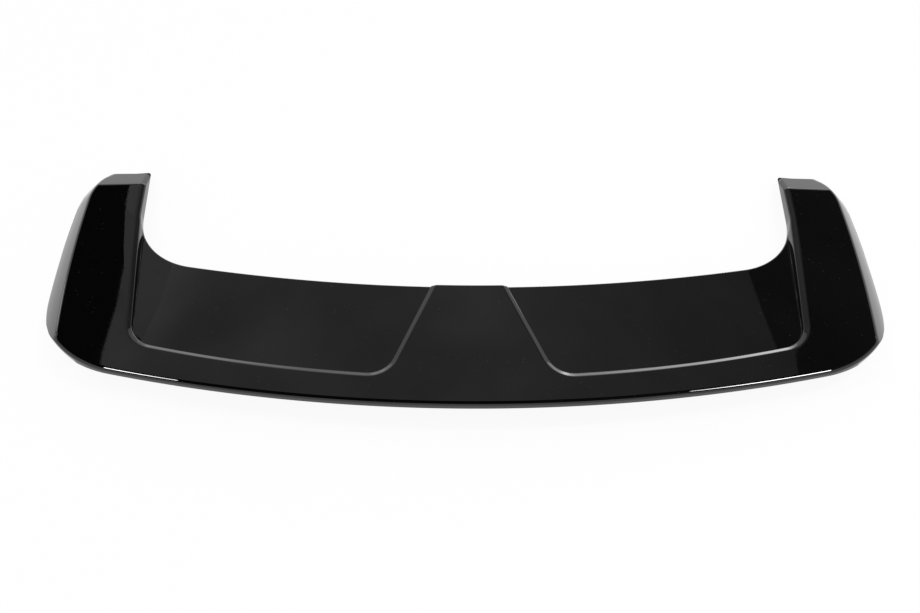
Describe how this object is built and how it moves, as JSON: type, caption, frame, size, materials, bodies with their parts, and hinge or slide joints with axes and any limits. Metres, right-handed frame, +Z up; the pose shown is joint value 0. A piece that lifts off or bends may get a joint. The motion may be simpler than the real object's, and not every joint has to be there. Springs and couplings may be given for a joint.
{
  "type": "roof spoiler",
  "caption": "Gloss-black tailgate roof spoiler: crowned wing with recessed panels beside a centre tongue, forward ears along the roof sides, and studs and tape underneath.",
  "frame": {"origin": "centre of the four mounting studs, on the plane that the stud seals rest on", "axes": "+X to the right seen from behind the vehicle, +Y towards the front of the vehicle, +Z up"},
  "size_m": [1.2214, 0.4375, 0.0629],
  "materials": {
    "gloss_black": "gloss",
    "moulded_black": "matte",
    "zinc_steel": "satin",
    "seal_foam": "matte",
    "tape_foam": "matte"
  },
  "bodies": {
    "root": {"outer_skin": "gloss_black", "inner_skin": "moulded_black", "studs": "zinc_steel", "stud_seals": "seal_foam", "front_tape": "tape_foam", "ear_tape_left": "tape_foam", "ear_tape_right": "tape_foam"}
  },
  "joints": []
}
